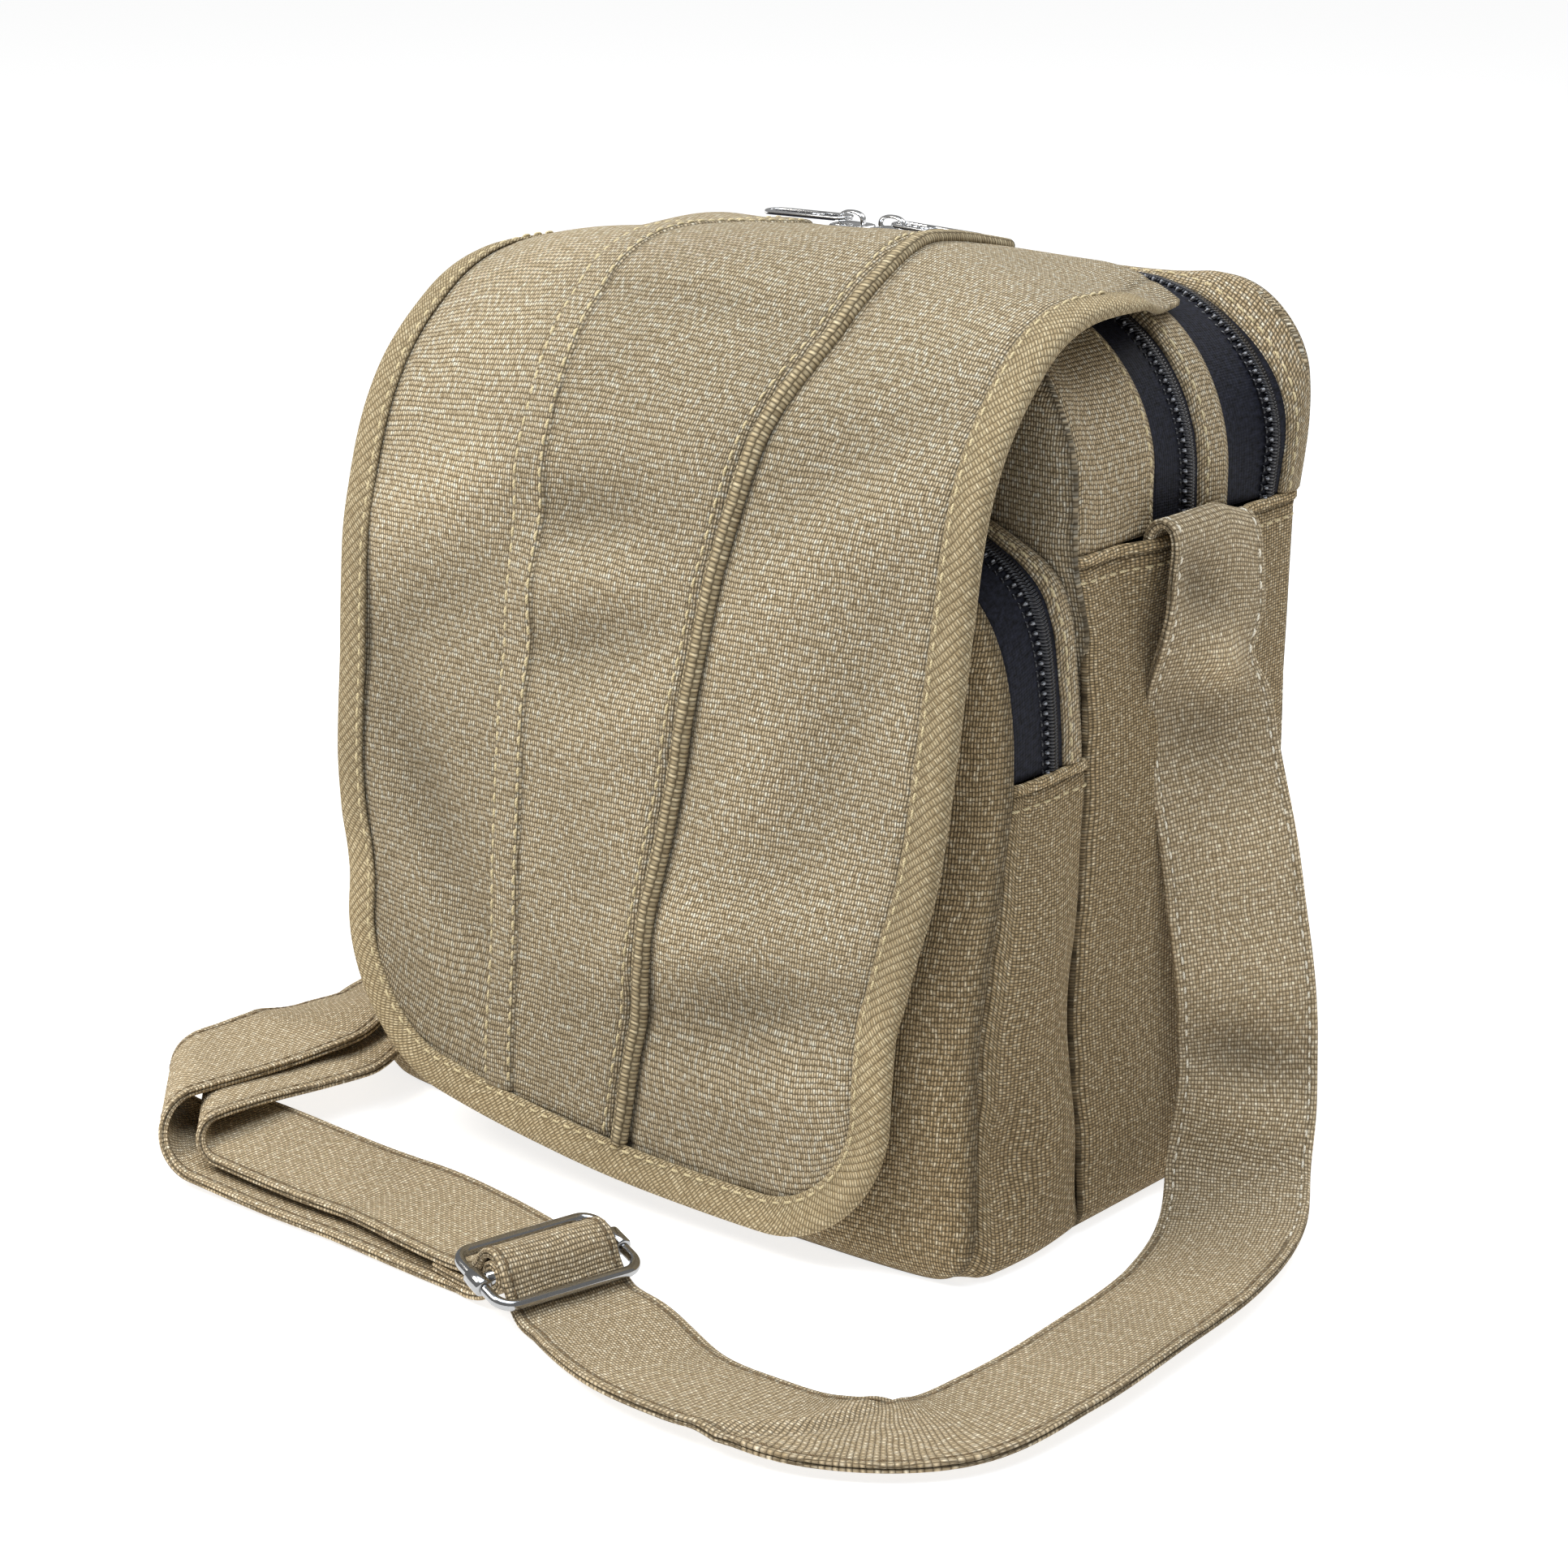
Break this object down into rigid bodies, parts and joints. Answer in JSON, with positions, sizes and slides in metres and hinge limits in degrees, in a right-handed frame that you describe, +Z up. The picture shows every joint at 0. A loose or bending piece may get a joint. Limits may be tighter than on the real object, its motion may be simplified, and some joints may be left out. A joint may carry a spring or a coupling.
{
  "type": "canvas shoulder bag",
  "caption": "Upright canvas shoulder bag with a bound front flap, zipped compartments, a zipped front pocket and a webbing strap with a wire slider lying on the floor.",
  "frame": {"origin": "centre of the body's flat bottom, on the surface that it stands on", "axes": "+Z up, -Y the front with the flap and the pocket, +X the side where the strap falls over the hem"},
  "size_m": [0.3541, 0.2684, 0.2657],
  "materials": {
    "canvas": "coarse plain weave",
    "edging": "ribbed bias tape",
    "zip_tape": "woven tape",
    "zip_teeth": "satin coil",
    "chrome": "polished"
  },
  "bodies": {
    "bag": {"side_band": "canvas", "front_top_band": "canvas", "middle_top_band": "canvas", "rear_top_band": "canvas", "front_panel": "canvas", "back_panel": "canvas", "pocket_top_band": "canvas", "pocket_band": "canvas", "pocket_panel": "canvas", "flap_left": "canvas", "flap_centre": "canvas", "flap_right": "canvas", "strap": "canvas", "strap_tab": "canvas", "flap_binding": "edging", "flap_cord": "edging", "front_zip_tape": "zip_tape", "rear_zip_tape": "zip_tape", "pocket_zip_tape": "zip_tape", "front_zip_chain": "zip_teeth", "rear_zip_chain": "zip_teeth", "pocket_zip_chain": "zip_teeth", "slider_frame": "chrome", "slider_bar": "chrome", "strap_ring": "chrome", "rear_slider_left": "chrome", "rear_slider_right": "chrome", "front_slider": "chrome", "pocket_slider": "chrome"},
    "pull_left": {"rear_pull_left": "chrome"},
    "pull_right": {"rear_pull_right": "chrome"}
  },
  "joints": [
    {"name": "pull_left_hinge", "type": "hinge", "parent": "bag", "child": "pull_left", "pos_m": [-0.0352, 0.03625, 0.25198], "axis": [0, 1, 0], "range_deg": [0, 100]},
    {"name": "pull_right_hinge", "type": "hinge", "parent": "bag", "child": "pull_right", "pos_m": [-0.0178, 0.03625, 0.25198], "axis": [0, -1, 0], "range_deg": [0, 100]}
  ]
}
